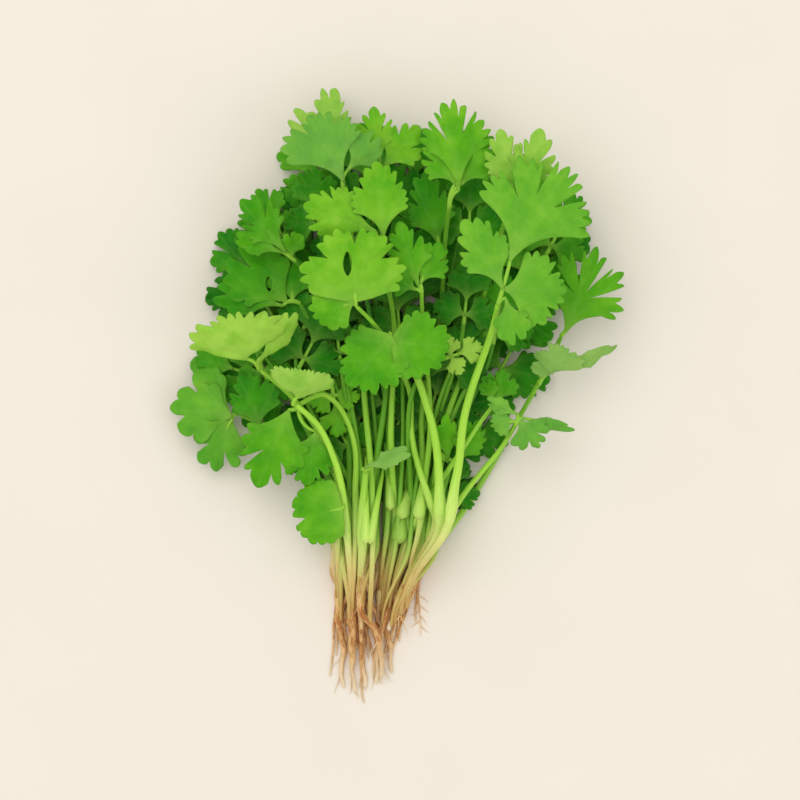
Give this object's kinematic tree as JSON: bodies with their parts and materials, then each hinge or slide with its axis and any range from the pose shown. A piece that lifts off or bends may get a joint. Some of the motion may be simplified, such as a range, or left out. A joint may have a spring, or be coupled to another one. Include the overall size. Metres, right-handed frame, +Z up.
{
  "type": "coriander bunch",
  "caption": "Loose bunch of fresh coriander with its roots, lying on its side: lobed leaves on thin stalks that gather at a neck above tapering roots.",
  "frame": {"origin": "centre of the bunch's bounding box, on the surface it lies on", "axes": "+Y from the roots towards the leaves, +X to the right seen from above with the leaves away from the viewer, +Z up from the surface"},
  "size_m": [0.1872, 0.2442, 0.0515],
  "materials": {
    "leaf_green": "soft matt leaf with a slight waxy sheen",
    "stem_green": "smooth juicy stalk, slightly glossy",
    "root_tan": "matt fibrous root with soil stains"
  },
  "bodies": {
    "root": {"root_01": "root_tan", "root_02": "root_tan", "root_03": "root_tan", "root_04": "root_tan", "root_05": "root_tan", "root_06": "root_tan", "root_07": "root_tan", "stem_01": "stem_green", "stem_02": "stem_green", "stem_03": "stem_green", "stem_04": "stem_green", "stem_05": "stem_green", "stem_06": "stem_green", "stem_07": "stem_green", "stem_08": "stem_green", "stem_09": "stem_green", "stem_10": "stem_green", "stem_11": "stem_green", "stem_12": "stem_green", "stem_13": "stem_green", "stem_14": "stem_green", "stem_15": "stem_green", "stem_16": "stem_green", "stem_17": "stem_green", "stem_18": "stem_green", "stem_19": "stem_green", "stem_20": "stem_green", "stem_21": "stem_green", "stem_22": "stem_green", "stem_23": "stem_green", "leaf_01": "leaf_green", "leaf_02": "leaf_green", "leaf_03": "leaf_green", "leaf_04": "leaf_green", "leaf_05": "leaf_green", "leaf_06": "leaf_green", "leaf_07": "leaf_green", "leaf_08": "leaf_green", "leaf_09": "leaf_green", "leaf_10": "leaf_green", "leaf_11": "leaf_green", "leaf_12": "leaf_green", "leaf_13": "leaf_green", "leaf_14": "leaf_green", "leaf_15": "leaf_green", "leaf_16": "leaf_green", "leaf_17": "leaf_green", "leaf_18": "leaf_green", "leaf_19": "leaf_green", "leaf_20": "leaf_green", "leaf_21": "leaf_green", "leaf_22": "leaf_green", "leaf_23": "leaf_green", "leaf_24": "leaf_green", "leaf_25": "leaf_green", "leaf_26": "leaf_green", "leaf_27": "leaf_green", "leaf_28": "leaf_green", "leaf_29": "leaf_green", "leaf_30": "leaf_green"}
  },
  "joints": []
}
